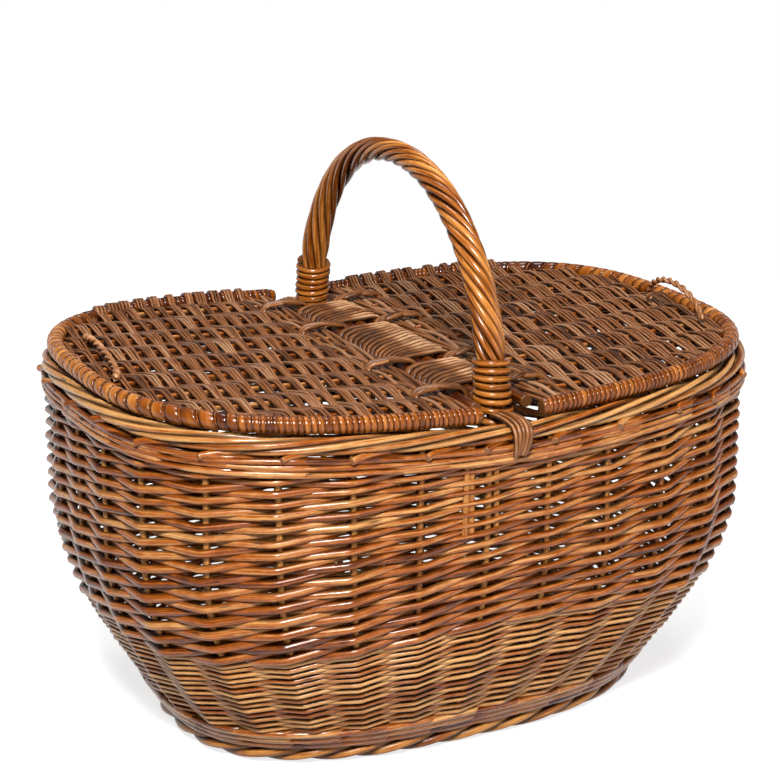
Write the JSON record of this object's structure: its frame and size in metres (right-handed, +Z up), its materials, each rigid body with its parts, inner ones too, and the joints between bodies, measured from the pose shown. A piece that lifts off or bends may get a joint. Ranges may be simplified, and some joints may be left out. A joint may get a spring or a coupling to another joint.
{
  "type": "picnic basket",
  "caption": "Oval willow picnic basket with a roped arch handle across the middle and half lids that hinge on a wrapped cross bar, each with a twisted pull loop.",
  "frame": {"origin": "on the floor under the middle of the basket", "axes": "+X along the basket, from the left lid to the right lid; +Y to the back, along the cross bar; +Z up"},
  "size_m": [0.493, 0.3816, 0.4063],
  "materials": {
    "willow_body": "varnished golden-brown willow",
    "willow_dark": "aged brown willow",
    "willow_lid": "worn dark brown willow",
    "willow_varnished": "glossy orange-brown willow",
    "willow_skein": "pale split willow"
  },
  "bodies": {
    "basket": {"base_sticks": "willow_dark", "base_weave": "willow_body", "foot_border": "willow_dark", "upsett_wale": "willow_body", "lower_siding": "willow_body", "upper_siding": "willow_body", "top_wale": "willow_body", "rim_border": "willow_body", "side_stakes": "willow_dark", "handle_core": "willow_dark", "handle_rope": "willow_varnished", "handle_binding_front": "willow_varnished", "handle_binding_back": "willow_varnished", "handle_tie_front": "willow_skein", "handle_tie_back": "willow_skein", "bar_rod_outer_left": "willow_dark", "bar_rod_outer_right": "willow_dark", "bar_rod_inner_left": "willow_dark", "bar_rod_inner_right": "willow_dark", "bar_binding_front": "willow_skein", "bar_binding_middle": "willow_skein", "bar_binding_back": "willow_skein"},
    "left_lid": {"left_lid_hoop": "willow_varnished", "left_lid_hoop_binding": "willow_skein", "left_lid_hinge_rod": "willow_lid", "left_lid_weave": "willow_lid", "left_lid_stick_1": "willow_body", "left_lid_stick_2": "willow_body", "left_lid_stick_3": "willow_body", "left_lid_stick_4": "willow_body", "left_lid_stick_5": "willow_body", "left_lid_stick_6": "willow_body", "left_lid_stick_7": "willow_body", "left_lid_stick_8": "willow_body", "left_lid_stick_9": "willow_body", "left_hinge_loop_1": "willow_skein", "left_hinge_loop_2": "willow_skein", "left_hinge_loop_3": "willow_skein", "left_hinge_loop_4": "willow_skein", "left_pull_loop": "willow_skein"},
    "right_lid": {"right_lid_hoop": "willow_varnished", "right_lid_hoop_binding": "willow_skein", "right_lid_hinge_rod": "willow_lid", "right_lid_weave": "willow_lid", "right_lid_stick_1": "willow_body", "right_lid_stick_2": "willow_body", "right_lid_stick_3": "willow_body", "right_lid_stick_4": "willow_body", "right_lid_stick_5": "willow_body", "right_lid_stick_6": "willow_body", "right_lid_stick_7": "willow_body", "right_lid_stick_8": "willow_body", "right_lid_stick_9": "willow_body", "right_hinge_loop_1": "willow_skein", "right_hinge_loop_2": "willow_skein", "right_hinge_loop_3": "willow_skein", "right_hinge_loop_4": "willow_skein", "right_pull_loop": "willow_skein"}
  },
  "joints": [
    {"name": "left_lid_hinge", "type": "hinge", "parent": "basket", "child": "left_lid", "pos_m": [-0.01888, 0, 0.25605], "axis": [0, 1, 0], "range_deg": [0, 85]},
    {"name": "right_lid_hinge", "type": "hinge", "parent": "basket", "child": "right_lid", "pos_m": [0.01888, 0, 0.25605], "axis": [0, -1, 0], "range_deg": [0, 85]}
  ]
}
